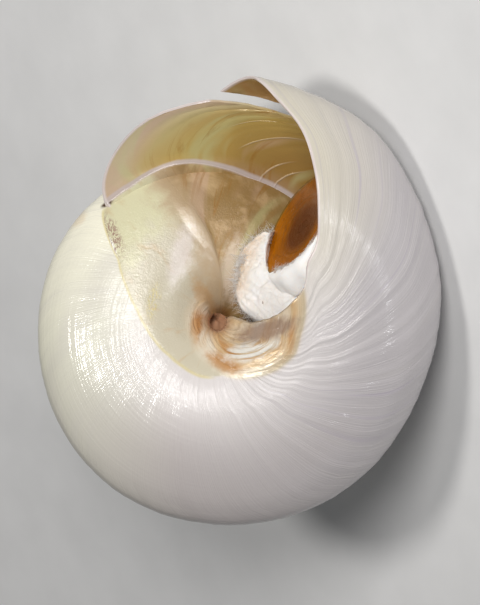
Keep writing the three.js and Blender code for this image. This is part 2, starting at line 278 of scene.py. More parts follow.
def outer_relief(growth, place, points):
    scale = whorl_radius(growth + LIP_AZIMUTH, growth) / LIP_RADIUS
    azimuth = azimuth_at(growth, place)
    distance = np.hypot(points[..., 0], points[..., 1])
    outside = window(place, 1, 3, PIT_PLACE - 4, PIT_PLACE - 1)
    near_lip = 0.55 + 0.9 * smoothstep(growth, -170, -20)
    relief = GROWTH_WAVE * near_lip * waves(growth, 11, 9, 0.25, 1.3) * outside
    relief += 0.5 * GROWTH_WAVE * waves(growth + 2 * place, 12, 6, 1.4, 2.6) * outside
    middle, width, depth = GROWTH_SCAR
    relief += depth * np.tanh((growth - middle) / width) * hump(growth, middle, 9) * outside
    band = window(place, SLIT_START - 0.1, SLIT_START + 0.15, SLIT_END - 0.15, SLIT_END + 0.1)
    relief -= BAND_DEPTH * band
    base = window(place, JOINT_PLACE, JOINT_PLACE + 0.6, PIT_PLACE - 1, PIT_PLACE)
    glaze = smoothstep(edge_distance(GLAZE_EDGE, azimuth, distance), -0.3, 0.9)
    relief = relief * (1 - 0.8 * glaze * base) + GLAZE_LIFT * glaze * base * (azimuth < GLAZE_LIFT_FROM)
    past = ridge_distance(azimuth, distance)
    ridge = window(past, -5, -0.2, 0, RIDGE_WIDTH)
    ridge -= CREASE_SHARE * hump(past, -CREASE_BEHIND * smoothstep(distance, 12, 24), CREASE_WIDTH)
    ridge = ridge * window(distance, *RIDGE_SPAN)
    relief += RIDGE_HEIGHT * ridge * base * (growth < RIDGE_GROWTH)
    gold_mm = edge_distance(GOLD_EDGE, azimuth, distance)
    gold = smoothstep(gold_mm, 0, 3) * (azimuth > -200)
    folds = waves(1.6 * gold_mm + 0.06 * azimuth, 13, 5, 0.6, 2.2)
    relief += WRINKLE * gold * base * folds * smoothstep(distance, 3, 7)
    return (relief - INSET) * scale * (place <= PIT_PLACE)


def outer_grid():
    growth, place = np.meshgrid(GROWTHS, PLACES, indexing="ij")
    wall = PLACES <= PIT_PLACE
    points = np.zeros(growth.shape + (3,))
    points[:, wall] = wall_points(growth[:, wall], place[:, wall])
    deeper = wall_points(growth[:, :1] - 360, np.full((len(GROWTHS), 1), float(PIT_PLACE)))
    w = (PLACES[~wall] - PIT_PLACE)[None, :, None]
    points[:, ~wall] = (1 - w) * points[:, PIT_ROW : PIT_ROW + 1] + w * deeper
    points += normals_of(points) * outer_relief(growth, place, points)[..., None]
    lift = ((1 - PLACES[:JOINT_ROW] / JOINT_PLACE) ** 2)[:, None]
    for i in range(LAST + 1):
        seam = points[i - SUTURE_SHIFT, JOINT_ROW] if i >= SUTURE_SHIFT else np.zeros(3)
        points[i, :JOINT_ROW] += lift * (seam - points[i, 0])
        if i >= COLUMNS_PER_TURN:
            points[i, AXIS_ROW] = points[i - COLUMNS_PER_TURN, PIT_ROW]
    return points


def inner_grid(outer):
    behind = -GROWTHS
    full = WALL_SHARE * whorl_radius(LIP_AZIMUTH - behind, -behind)
    thickness = LIP_THICKNESS + (full - LIP_THICKNESS) * smoothstep(behind, 0, LIP_TAPER_ANGLE)
    growth, place = np.meshgrid(GROWTHS, PLACES, indexing="ij")
    from_edge = callus_distance(growth, place, np.ones_like(place))
    callus = BEAD_HEIGHT * (1 - smoothstep(from_edge, 0, BEAD_WIDTH)) * (place < 1.5)
    callus = callus * smoothstep(place, 0, 0.15) * smoothstep(growth, -60, -45)
    return outer - normals_of(outer) * (thickness[:, None] + callus)[..., None]


class WallMesh:
    """Collects the shell's faces, with each corner's growth angle, place and side."""

    def __init__(self):
        self.outer_points = outer_grid()
        self.inner_points = inner_grid(self.outer_points)
        columns, rows = self.outer_points.shape[:2]
        index = np.arange(columns * rows).reshape(columns, rows)
        self.outer = index.copy()
        self.outer[0] = 0
        for i in range(1, columns):
            self.outer[i, 0] = self.outer[i - SUTURE_SHIFT, JOINT_ROW] if i > SUTURE_SHIFT else 0
            if i >= COLUMNS_PER_TURN:
                self.outer[i, AXIS_ROW] = self.outer[i - COLUMNS_PER_TURN, PIT_ROW]
        self.inner = index + columns * rows
        late = np.arange(HOLLOW_START, columns)
        self.inner[late, 0] = self.outer[late - SUTURE_SHIFT, JOINT_ROW + 1]
        self.inner[late, AXIS_ROW] = self.outer[late - COLUMNS_PER_TURN, PIT_ROW - 1]
        self.points = list(self.outer_points.reshape(-1, 3)) + list(self.inner_points.reshape(-1, 3))
        self.faces = []
        self.corners = []

    def face(self, corners):
        """A face from corners (side, column, row), or (vertex, column, row) for a lone vertex."""
        ids = [self.vertex(*corner) for corner in corners]
        keep = [k for k in range(len(ids)) if ids[k] != ids[k - 1]]
        if len(keep) < 3:
            return
        self.faces.append([ids[k] for k in keep])
        self.corners += [
            (GROWTHS[corners[k][1]], PLACES[corners[k][2]], 0.0 if corners[k][0] == "outer" else 1.0)
            for k in keep
        ]

    def vertex(self, side, i, j):
        if side == "outer":
            return int(self.outer[i, j])
        if side == "inner":
            return int(self.inner[i, j])
        return side

    def add_point(self, point):
        self.points.append(np.asarray(point, float))
        return len(self.points) - 1

    def strip(self, side, i, j):
        corners = [(side, i, j), (side, i + 1, j), (side, i + 1, j + 1), (side, i, j + 1)]
        self.face(corners if side == "outer" else flipped(corners))

    def fan(self, loop):
        """Closes a hole with a fan about the mean point of its rim."""
        ids = [self.vertex(*corner) for corner in loop]
        middle = self.add_point(np.mean([self.points[k] for k in ids], axis=0))
        for a, b in zip(loop, loop[1:] + loop[:1]):
            self.face([(middle, *a[1:]), a, b])


def first_column(j):
    """The first column in which the outer wall shows between rows j and j + 1."""
    if j < JOINT_ROW:
        return 0
    if j == JOINT_ROW:
        return LAST - SUTURE_SHIFT
    if j < PIT_ROW - 1:
        return HOLLOW_START - SUTURE_SHIFT
    if j == PIT_ROW - 1:
        return LAST - COLUMNS_PER_TURN
    return HOLLOW_START


def add_walls(mesh):
    for j in range(AXIS_ROW):
        stop = SLIT_COLUMN if SLIT_ROWS[0] <= j < SLIT_ROWS[1] else LAST
        for side, start in (("outer", first_column(j)), ("inner", HOLLOW_START)):
            for i in range(start, stop):
                mesh.strip(side, i, j)


RIM_BULGE = 0.28


def add_rim(mesh, path, ahead):
    """Rounds the wall's edge along a path of (column, row), with its ends pinched to the outer side."""
    middles = [("outer", *path[0])]
    for i, j in path[1:-1]:
        middle = (mesh.outer_points[i, j] + mesh.inner_points[i, j]) / 2
        middles.append((mesh.add_point(middle + RIM_BULGE * unit(ahead(i, j))), i, j))
    middles.append(("outer", *path[-1]))
    for here, there, near, far in zip(path, path[1:], middles, middles[1:]):
        mesh.face([("outer", *here), near, far, ("outer", *there)])
        mesh.face([near, ("inner", *here), ("inner", *there), far])


def add_lip(mesh):
    """The lip, from the suture round the slit to the pit's wall."""
    top, bottom = SLIT_ROWS

    def along(i, j):
        return mesh.outer_points[i, j] - mesh.outer_points[i - 1, j]

    def down(i, j):
        return mesh.outer_points[i, j + 1] - mesh.outer_points[i, j]

    path = [(LAST, j) for j in range(top + 1)]
    path += [(i, top) for i in range(LAST - 1, SLIT_COLUMN - 1, -1)]
    path += [(SLIT_COLUMN, j) for j in range(top + 1, bottom + 1)]
    path += [(i, bottom) for i in range(SLIT_COLUMN + 1, LAST + 1)]
    path += [(LAST, j) for j in range(bottom + 1, AXIS_ROW + 1)]

    def ahead(i, j):
        if (i == LAST and j not in SLIT_ROWS) or (i == SLIT_COLUMN and top < j < bottom):
            return along(i, j)
        side = down(i, j) if j == top else -down(i, j - 1)
        return side + along(i, j) if i in (LAST, SLIT_COLUMN) else side

    add_rim(mesh, path, ahead)


# The pit's floor: how far its edge lies below the rim, the height of its lowest point, the share of a turn
# in which its oldest end rises to meet its newest, and how much of the way it widens to meet it
PIT_FLOOR_DEPTH = 7.5
PIT_FLOOR_MIDDLE = 54.0
PIT_FLOOR_CLOSING = 0.3
PIT_FLOOR_WIDENING = 0.35
PIT_FLOOR_SHARES = (1.04, 0.8, 0.55, 0.3, 0.1)


def add_pit_floor(mesh):
    """A funnel that winds down with the last turn and closes the pit not far below its rim."""
    columns = np.arange(LAST - COLUMNS_PER_TURN, LAST + 1)
    rim = mesh.outer_points[columns, PIT_ROW]
    height = rim[:, 2] - PIT_FLOOR_DEPTH
    closed = smoothstep(np.arange(len(columns)) / COLUMNS_PER_TURN, 0, PIT_FLOOR_CLOSING)
    height = height[-1] + closed * (height - height[-1])
    reach = np.hypot(rim[:, 0], rim[:, 1])
    wider = 1 + PIT_FLOOR_WIDENING * (1 - closed) * (reach[-1] / reach - 1)
    rings = []
    for share in PIT_FLOOR_SHARES:
        z = PIT_FLOOR_MIDDLE + (height - PIT_FLOOR_MIDDLE) * share**1.5
        ring = np.column_stack([rim[:, :2] * (share * wider)[:, None], z])
        rings.append([mesh.add_point(point) for point in ring])
    middle = mesh.add_point((0, 0, PIT_FLOOR_MIDDLE))
    row = PIT_ROW + 1
    for k, i in enumerate(columns):
        after, following = (k + 1) % len(columns), min(i + 1, LAST)
        for wide, narrow in zip(rings, rings[1:]):
            newer = ((wide[after], following), (narrow[after], following))
            corners = ((wide[k], i), *newer, (narrow[k], i))
            mesh.face([(vertex, column, row) for vertex, column in corners])
        mesh.face([(rings[-1][k], i, row), (rings[-1][after], following, row), (middle, i, row)])


def add_caps(mesh):
    start = HOLLOW_START
    base = start - SUTURE_SHIFT
    hollow = [("inner", start, j) for j in range(AXIS_ROW + 1)]
    hollow += [("outer", i, PIT_ROW - 1) for i in range(start - COLUMNS_PER_TURN + 1, base + 1)]
    hollow += [("outer", base, j) for j in range(PIT_ROW - 2, JOINT_ROW + 1, -1)]
    mesh.fan(hollow[::-1])
    pit = [("outer", start, j) for j in range(PIT_ROW, AXIS_ROW + 1)]
    pit += [("outer", i, PIT_ROW) for i in range(start - COLUMNS_PER_TURN + 1, start)]
    mesh.fan(pit)


def rest_matrix():
    """Carries the shell's own frame, in millimetres, to where the shell lies, in metres."""
    lean = Matrix.Rotation(math.radians(REST_LEAN), 4, "X")
    roll = Matrix.Rotation(math.radians(REST_ROLL), 4, "Z")
    return Matrix.Translation(Vector(REST_POSITION) * MM) @ lean @ roll @ Matrix.Scale(MM, 4)


REST = rest_matrix()


def to_rest(points):
    turned = np.asarray(points) @ np.array(REST.to_3x3()).T
    return turned + np.array(REST.translation)


def add_object(name, data):
    made = bpy.data.objects.new(name, data)
    bpy.context.scene.collection.objects.link(made)
    return made


def object_from(name, points, faces):
    mesh = bpy.data.meshes.new(name)
    mesh.from_pydata([tuple(p) for p in points], [], faces)
    return add_object(name, mesh)


def add_values(mesh_data, name, domain, values):
    layer = mesh_data.attributes.new(name, "FLOAT", domain)
    layer.data.foreach_set("value", np.asarray(values, np.float32))


def uv_layer(mesh_data, name, u, v):
    layer = mesh_data.uv_layers.new(name=name)
    layer.data.foreach_set("uv", np.stack([u, v], -1).astype(np.float32).ravel())


# Streaks in the nacre slant across the growth lines by this many degrees in a place
STREAK_SLOPE = 5.0
SHELL_CREASE_ANGLE = 50


def make_shell():
    mesh = WallMesh()
    add_walls(mesh)
    add_lip(mesh)
    add_caps(mesh)
    add_pit_floor(mesh)
    used = np.unique([k for face in mesh.faces for k in face])
    renumber = np.full(len(mesh.points), -1)
    renumber[used] = np.arange(len(used))
    points = np.array(mesh.points)[used]
    faces = [[int(renumber[k]) for k in face] for face in mesh.faces]
    growth, place, inside = np.array(mesh.corners).T
    corner_points = points[[k for face in faces for k in face]]
    distance = np.hypot(corner_points[:, 0], corner_points[:, 1])
    azimuth = azimuth_at(growth, place) - 360 * (inside > 0.5)
    placed = to_rest(points)
    placed[:, 2] -= min(0.0, placed[:, 2].min())
    made = object_from("slit_shell", placed, faces)
    data = made.data
    gold_mm = edge_distance(GOLD_EDGE, azimuth, distance)
    uv_layer(data, "growth", growth / 360, np.interp(place, *arc_of_places()) / 100)
    uv_layer(data, "streaks", (growth - STREAK_SLOPE * place) / 360, place / 20)
    uv_layer(data, "polar", azimuth / 360, distance / 100)
    uv_layer(data, "folds", azimuth / 360, gold_mm / 20)
    uv_layer(data, "plan", corner_points[:, 0] / 100, corner_points[:, 1] / 100)
    values = {
        "inside": inside,
        "callus_mm": callus_distance(growth, place, inside),
        "glaze_mm": edge_distance(GLAZE_EDGE, azimuth, distance),
        "gold_mm": gold_mm,
        "ridge_mm": ridge_distance(azimuth, distance),
        "growth_deg": growth,
        "place": place,
        "axis_mm": distance,
    }
    for name, found in values.items():
        add_values(data, name, "CORNER", found)
    data.shade_smooth()
    data.set_sharp_from_angle(angle=math.radians(SHELL_CREASE_ANGLE))
    data.validate()
    return made


# The lid, as in the solid
LID_RADIUS = 14.2
LID_THICKNESS = 0.8
LID_EDGE_THICKNESS = 0.5
LID_DISH = 0.9
LID_CENTRE = np.array((21.3, 23.15, 70.7))
LID_FACING = np.array(Vector((-0.802, 0.445, 0.398)).normalized())
LID_SIDES = 160
LID_RINGS = 60
LID_LINE = 0.045
LID_CREASE_ANGLE = 60


def lid_side(side):
    """Points of one face of the lid, ring by ring from the middle, about +Y."""
    share = np.linspace(0, 1, LID_RINGS + 1)[1:, None]
    angle = np.linspace(0, 2 * math.pi, LID_SIDES, endpoint=False)[None, :]
    radius = LID_RADIUS * share * (1 + 0.006 * waves(angle * 3, 21, 4) * smoothstep(share, 0.7, 1))
    thickness = LID_THICKNESS + (LID_EDGE_THICKNESS - LID_THICKNESS) * share
    thickness = thickness * np.sqrt(1 - smoothstep(share, 0.955, 1.0) * 0.8)
    spiral = share * LID_RADIUS + angle / (2 * math.pi) * 1.3
    lines = LID_LINE * waves(spiral * 2.4, 22, 6, 0.8, 2.2) * smoothstep(share, 0.03, 0.2)
    height = LID_DISH * share**2 + side * (thickness / 2 - LID_LINE * 1.4 + lines)
    return np.stack([radius * np.cos(angle), height, -radius * np.sin(angle)], -1)


def make_lid():
    upper, under = lid_side(1), lid_side(-1)
    points = list(upper.reshape(-1, 3)) + list(under.reshape(-1, 3))
    half = LID_SIDES * LID_RINGS
    edge = half - LID_SIDES
    tips = (2 * half, 2 * half + 1)
    points += [np.array([0, LID_THICKNESS / 2, 0]), np.array([0, -LID_THICKNESS / 2, 0])]
    faces, ring_uv = [], []
    for s in range(LID_SIDES):
        t = (s + 1) % LID_SIDES
        a, b = s / LID_SIDES, (s + 1) / LID_SIDES
        for first, tip, order in ((0, tips[0], list), (half, tips[1], flipped)):
            faces.append(order([tip, first + s, first + t]))
            ring_uv += order([(a, 0), (a, 1 / LID_RINGS), (b, 1 / LID_RINGS)])
            for r in range(LID_RINGS - 1):
                near, far = first + r * LID_SIDES, first + (r + 1) * LID_SIDES
                low, high = (r + 1) / LID_RINGS, (r + 2) / LID_RINGS
                faces.append(order([near + s, far + s, far + t, near + t]))
                ring_uv += order([(a, low), (a, high), (b, high), (b, low)])
        faces.append([edge + s, half + edge + s, half + edge + t, edge + t])
        ring_uv += [(a, 1), (a, 1), (b, 1), (b, 1)]
    turn = Vector((0, 1, 0)).rotation_difference(Vector(LID_FACING))
    turned = np.array(points) @ np.array(turn.to_matrix()).T + LID_CENTRE
    made = object_from("horny_lid", to_rest(turned), faces)
    u, v = np.array(ring_uv).T
    uv_layer(made.data, "rings", u, v)
    made.data.shade_smooth()
    made.data.set_sharp_from_angle(angle=math.radians(LID_CREASE_ANGLE))
    return made


# The tuft, as in the solid, and its fibres, which the solid leaves out
TUFT_CENTRE = (17, 10, 69.5)
TUFT_RADIUS = 12.5
TUFT_RISE = 5.0
TUFT_DROP = 9.0
TUFT_HEAP = 12.5
TUFT_HEAP_RATE = 1.45
TUFT_HEAP_MIDDLE = 0.05
TUFT_BULGE = 3.6
TUFT_LUMP = 0.6
TUFT_EDGE = 0.1
CLEARANCE = 0.5
CEILING_GAP = CLEARANCE + WALL_SHARE * LIP_RADIUS
TUFT_SIDES = 120
TUFT_RINGS = 70
FIBRES = 380
STRAY_FIBRES = 1300
LID_FIBRES = 500
FIBRE_STEPS = 7
FIBRE_GAP = 0.12
FIBRE_RADIUS = 0.032
STRAY_RADIUS = 0.055
FIBRE_TAPER = 0.75
FIBRE_LENGTH = (4.0, 11.0)
STRAY_LENGTH = (0.8, 3.6)
STRAY_SECTOR = (math.radians(80), math.radians(250))
STRAY_INSET = (0.8, 1.02)
STRAY_LIFT = 0.35
LID_FIBRE_LENGTH = (0.3, 1.9)
LID_FIBRE_SECTOR = (0.0, math.radians(82))
LID_FIBRE_INSET = (0.8, 2.5)

# The part of the tuft that laps over the lid's lower edge: where it runs, the circle its middle follows,
# how far it reaches inwards, outwards, up and down, and how its outer side dips into the tuft
LAP_SECTOR = (math.radians(-6), math.radians(96))
LAP_OUT = 0.3
LAP_LIFT = 0.75
LAP_INWARD = 2.1
LAP_OUTWARD = 3.4
LAP_UP = 0.85
LAP_DOWN = 3.5
LAP_DIP = 4.5
LAP_STEPS = 90
LAP_SIDES = 24


def base_height(x, y, turns_back):
    """Height of the base at a place, on the last whorl or a number of turns before it."""
    azimuth = np.degrees(np.arctan2(y, x)) - 360 * turns_back
    radius = whorl_radius(azimuth, np.full_like(azimuth, -360.0 * turns_back))
    shares, heights, _ = np.array(BASE[::-1], float).T
    return radius * (APEX_SHARE + np.interp(np.hypot(x, y) / radius, shares, heights))


def lid_underside(x, y):
    """Height under which the tuft passes below the lid at a place, bulging up outside its edge."""
    dx, dy = x - LID_CENTRE[0], y - LID_CENTRE[1]
    rise = -(LID_FACING[0] * dx + LID_FACING[1] * dy) / LID_FACING[2]
    reach = np.sqrt(dx**2 + dy**2 + rise**2) / LID_RADIUS
    share = np.minimum(reach, 1)
    inward = share / np.maximum(reach, 1e-9)
    below = LID_THICKNESS / 2 + CLEARANCE - LID_DISH * share**2
    bulge = TUFT_BULGE * np.hypot(dx, dy) * (1 - inward)
    return LID_CENTRE[2] + rise * inward - below / LID_FACING[2] + bulge


def tuft_surface(direction, swell=0.0):
    """Where the tuft's surface lies in a direction from its middle, pressed on the wall below it."""
    x, y, z = direction[..., 0], direction[..., 1], direction[..., 2]
    lump = TUFT_LUMP * np.sin(5 * x + 2) * np.cos(6 * y - 1) * np.cos(3 * z) + swell
    place_x = TUFT_CENTRE[0] + (TUFT_RADIUS + lump) * x
    place_y = TUFT_CENTRE[1] + (TUFT_RADIUS + lump) * y
    rise = np.where(z > 0, TUFT_RISE, TUFT_DROP)
    heap = TUFT_HEAP * np.tanh(TUFT_HEAP_RATE * (x - TUFT_HEAP_MIDDLE))
    height = TUFT_CENTRE[2] + rise * z + heap + lump
    floor = base_height(place_x, place_y, 1) + CLEARANCE + TUFT_EDGE * (z + 1)
    ceiling = np.minimum(base_height(place_x, place_y, 0) - CEILING_GAP, lid_underside(place_x, place_y))
    ceiling = np.maximum(ceiling, floor) - TUFT_EDGE * (1 - z)
    return np.stack([place_x, place_y, np.minimum(np.maximum(height, floor), ceiling)], -1)


def keep_off_lid(points, gap):
    """Moves points that lie in the lid, or past it, to its near face."""
    offset = points - LID_CENTRE
    along = offset @ LID_FACING
    across = np.linalg.norm(offset - along[..., None] * LID_FACING, axis=-1)
    surface = LID_DISH * (across / LID_RADIUS) ** 2
    half = LID_THICKNESS / 2 + gap
    inside = (np.abs(along - surface) < half) & (across < LID_RADIUS + gap)
    side = np.where(along >= surface, 1.0, -1.0)
    move = np.where(inside, surface + side * half - along, 0)
    return points + move[..., None] * LID_FACING


def add_rings(faces, first, rings, sides, order=list):
    """Faces between rings of points, the first of which starts at a number."""
    for near in range(first, first + (rings - 1) * sides, sides):
        for s in range(sides):
            t = (s + 1) % sides
            faces.append(order([near + s, near + sides + s, near + sides + t, near + t]))


def make_cotton():
    rng = np.random.default_rng(5)
    polar = np.linspace(0, math.pi, TUFT_RINGS + 1)[1:-1, None]
    turn = np.linspace(0, 2 * math.pi, TUFT_SIDES, endpoint=False)[None, :]
    across = np.sin(polar)
    direction = np.stack([across * np.cos(turn), across * np.sin(turn), np.cos(polar) + 0 * turn], -1)
    base = keep_off_lid(tuft_surface(direction, cotton_swell(direction)), CLEARANCE)
    poles = keep_off_lid(tuft_surface(np.array([[0, 0, 1.0], [0, 0, -1.0]])), CLEARANCE)
    points = list(base.reshape(-1, 3)) + list(poles)
    rows = TUFT_RINGS - 1
    top, bottom = rows * TUFT_SIDES, rows * TUFT_SIDES + 1
    last = top - TUFT_SIDES
    faces = []
    for s in range(TUFT_SIDES):
        t = (s + 1) % TUFT_SIDES
        faces += [[top, s, t], [bottom, last + t, last + s]]
    add_rings(faces, 0, rows, TUFT_SIDES)
    add_lap(points, faces)
    body = len(points)
    for count, path, radius in (
        (FIBRES, cushion_path, FIBRE_RADIUS),
        (STRAY_FIBRES, stray_path, STRAY_RADIUS),
        (LID_FIBRES, lid_path, FIBRE_RADIUS),
    ):
        for _ in range(count):
            add_tube(path(rng), radius, points, faces)
    made = object_from("cotton_tuft", to_rest(points), faces)
    placed = np.array(points)
    over_wall = placed[:, 2] - base_height(placed[:, 0], placed[:, 1], 1)
    over_wall[body:] = TUFT_RISE
    add_values(made.data, "over_wall_mm", "POINT", over_wall)
    made.data.shade_smooth()
    return made


def lid_point(turn, reach, lift):
    """A point by the lid: turn from its tip towards the lip, distance from its middle, and height."""
    to_tip = unit(np.cross([0.0, 0.0, 1.0], LID_FACING))
    across = math.cos(turn) * to_tip + math.sin(turn) * np.cross(LID_FACING, to_tip)
    return LID_CENTRE + reach * across + lift * LID_FACING


def add_lap(points, faces):
    """The soft edge of the tuft that laps over the lid's lower edge, kept under the wall above it."""
    first = len(points)
    around = np.linspace(0, 2 * math.pi, LAP_SIDES, endpoint=False)
    for k in range(LAP_STEPS + 1):
        share = k / LAP_STEPS
        turn = LAP_SECTOR[0] + share * (LAP_SECTOR[1] - LAP_SECTOR[0])
        thick = math.sqrt(math.sin(math.pi * (0.005 + 0.99 * share))) * (1 + 0.12 * waves(8 * turn, 35, 4))
        out, up = np.cos(around), np.sin(around)
        ragged = LAP_INWARD * (1 + 0.28 * waves(11 * turn, 36, 5))
        reach = LID_RADIUS + LAP_OUT + thick * out * np.where(out > 0, LAP_OUTWARD, ragged)
        depth = np.where(up > 0, LAP_UP, LAP_UP + (LAP_DOWN - LAP_UP) * np.maximum(out, 0))
        lift = LID_DISH + LAP_LIFT + thick * up * depth - LAP_DIP * np.maximum(out, 0) ** 2
        ring = np.array([lid_point(turn, a, b) for a, b in zip(reach, lift)])
        points.extend(under_wall(keep_off_lid(ring, 0.1)))
    add_rings(faces, first, LAP_STEPS + 1, LAP_SIDES, flipped)
    faces.append([first + s for s in reversed(range(LAP_SIDES))])
    faces.append([first + LAP_STEPS * LAP_SIDES + s for s in range(LAP_SIDES)])


def under_wall(points):
    """Moves points down, where needed, to stay under the wall of the last whorl."""
    ceiling = base_height(points[:, 0], points[:, 1], 0) - CEILING_GAP
    return np.column_stack([points[:, :2], np.minimum(points[:, 2], ceiling)])


def cotton_swell(direction):
    x, y, z = direction[..., 0], direction[..., 1], direction[..., 2]
    large = waves(4 * x + 3 * y, 31, 4) * waves(4 * z - 2 * y, 32, 4)
    small = waves(14 * x + 9 * z, 33, 5) * waves(13 * y - 6 * z, 34, 5)
    by_lip = np.exp(-((x - 0.5) ** 2 + (y - 0.65) ** 2) / 0.12)
    return 0.35 * large + 0.16 * small + 0.9 * by_lip


def cushion_path(rng):
    """A fibre that leaves the tuft's surface, bends over it and ends near it."""
    spot = rng.normal(size=3)
    spot[2] = abs(spot[2]) * 0.8 + 0.05
    spot = unit(spot)
    heading = unit(np.cross(spot, rng.normal(size=3)))
    stride = rng.uniform(*FIBRE_LENGTH) / TUFT_RADIUS / FIBRE_STEPS
    curl = rng.normal(scale=1.1, size=3)
    rise = rng.uniform(0.1, 1.0) ** 2 * 0.8
    path = []
    for k in range(FIBRE_STEPS + 1):
        height = rise * math.sin(math.pi * min(k / FIBRE_STEPS, 0.8)) + FIBRE_GAP
        path.append(tuft_surface(spot[None])[0] + spot * height)
        heading = heading + curl * stride
        heading = unit(heading - spot * heading.dot(spot))
        spot = unit(spot + heading * stride)
    return keep_off_lid(np.array(path), FIBRE_GAP)


def stray_path(rng):
    """A fibre that runs out from the tuft's thin side over the wall of the whorl before."""
    turn = rng.uniform(*STRAY_SECTOR)
    inset = rng.uniform(*STRAY_INSET) * TUFT_RADIUS
    spot = np.array(TUFT_CENTRE[:2]) + inset * np.array([math.cos(turn), math.sin(turn)])
    turn += rng.normal(scale=0.8)
    stride = rng.uniform(*STRAY_LENGTH) / FIBRE_STEPS
    curl = rng.normal(scale=0.25)
    start = rng.uniform(0.4, 2.4)
    path = []
    for k in range(FIBRE_STEPS + 1):
        lift = start * (1 - k / FIBRE_STEPS) ** 2 + STRAY_LIFT
        path.append([*spot, base_height(*spot, 1) + lift])
        turn += curl
        spot = spot + stride * np.array([math.cos(turn), math.sin(turn)])
    return keep_off_lid(np.array(path), FIBRE_GAP)


def lid_path(rng):
    """A fibre that laps from the tuft over the lower edge of the lid."""
    turn = rng.uniform(*LID_FIBRE_SECTOR)
    reach = LID_RADIUS - rng.uniform(*LID_FIBRE_INSET)
    stride = rng.uniform(*LID_FIBRE_LENGTH) / FIBRE_STEPS
    drift = rng.normal(scale=0.03)
    start = rng.uniform(0.2, 0.9)
    path = []
    for k in range(FIBRE_STEPS + 1):
        share = min(reach / LID_RADIUS, 1.05)
        lift = LID_DISH * share**2 + LID_THICKNESS / 2 + FIBRE_GAP + start * (1 - k / FIBRE_STEPS)
        path.append(lid_point(turn, reach, lift))
        reach -= stride
        turn += drift
    return under_wall(np.array(path))


def add_tube(path, thickest, points, faces):
    """A thin three-sided tube along a path, narrowing to its end."""
    along = unit(np.gradient(path, axis=0))
    side = unit(np.cross(along, [0.3, 0.2, 0.93]))
    over = np.cross(along, side)
    first = len(points)
    for k in range(FIBRE_STEPS + 1):
        radius = thickest * (1 - FIBRE_TAPER * k / FIBRE_STEPS)
        for corner in range(3):
            turn = 2 * math.pi * corner / 3
            points.append(path[k] + radius * (math.cos(turn) * side[k] + math.sin(turn) * over[k]))
    add_rings(faces, first, FIBRE_STEPS + 1, 3, flipped)
    faces.append([first + 2, first + 1, first])
    end = first + 3 * FIBRE_STEPS
    faces.append([end, end + 1, end + 2])


# Numbers of a mix node's colour sockets: its inputs, and its output
MIX_COLOURS = (6, 7)
MIXED_COLOUR = 2


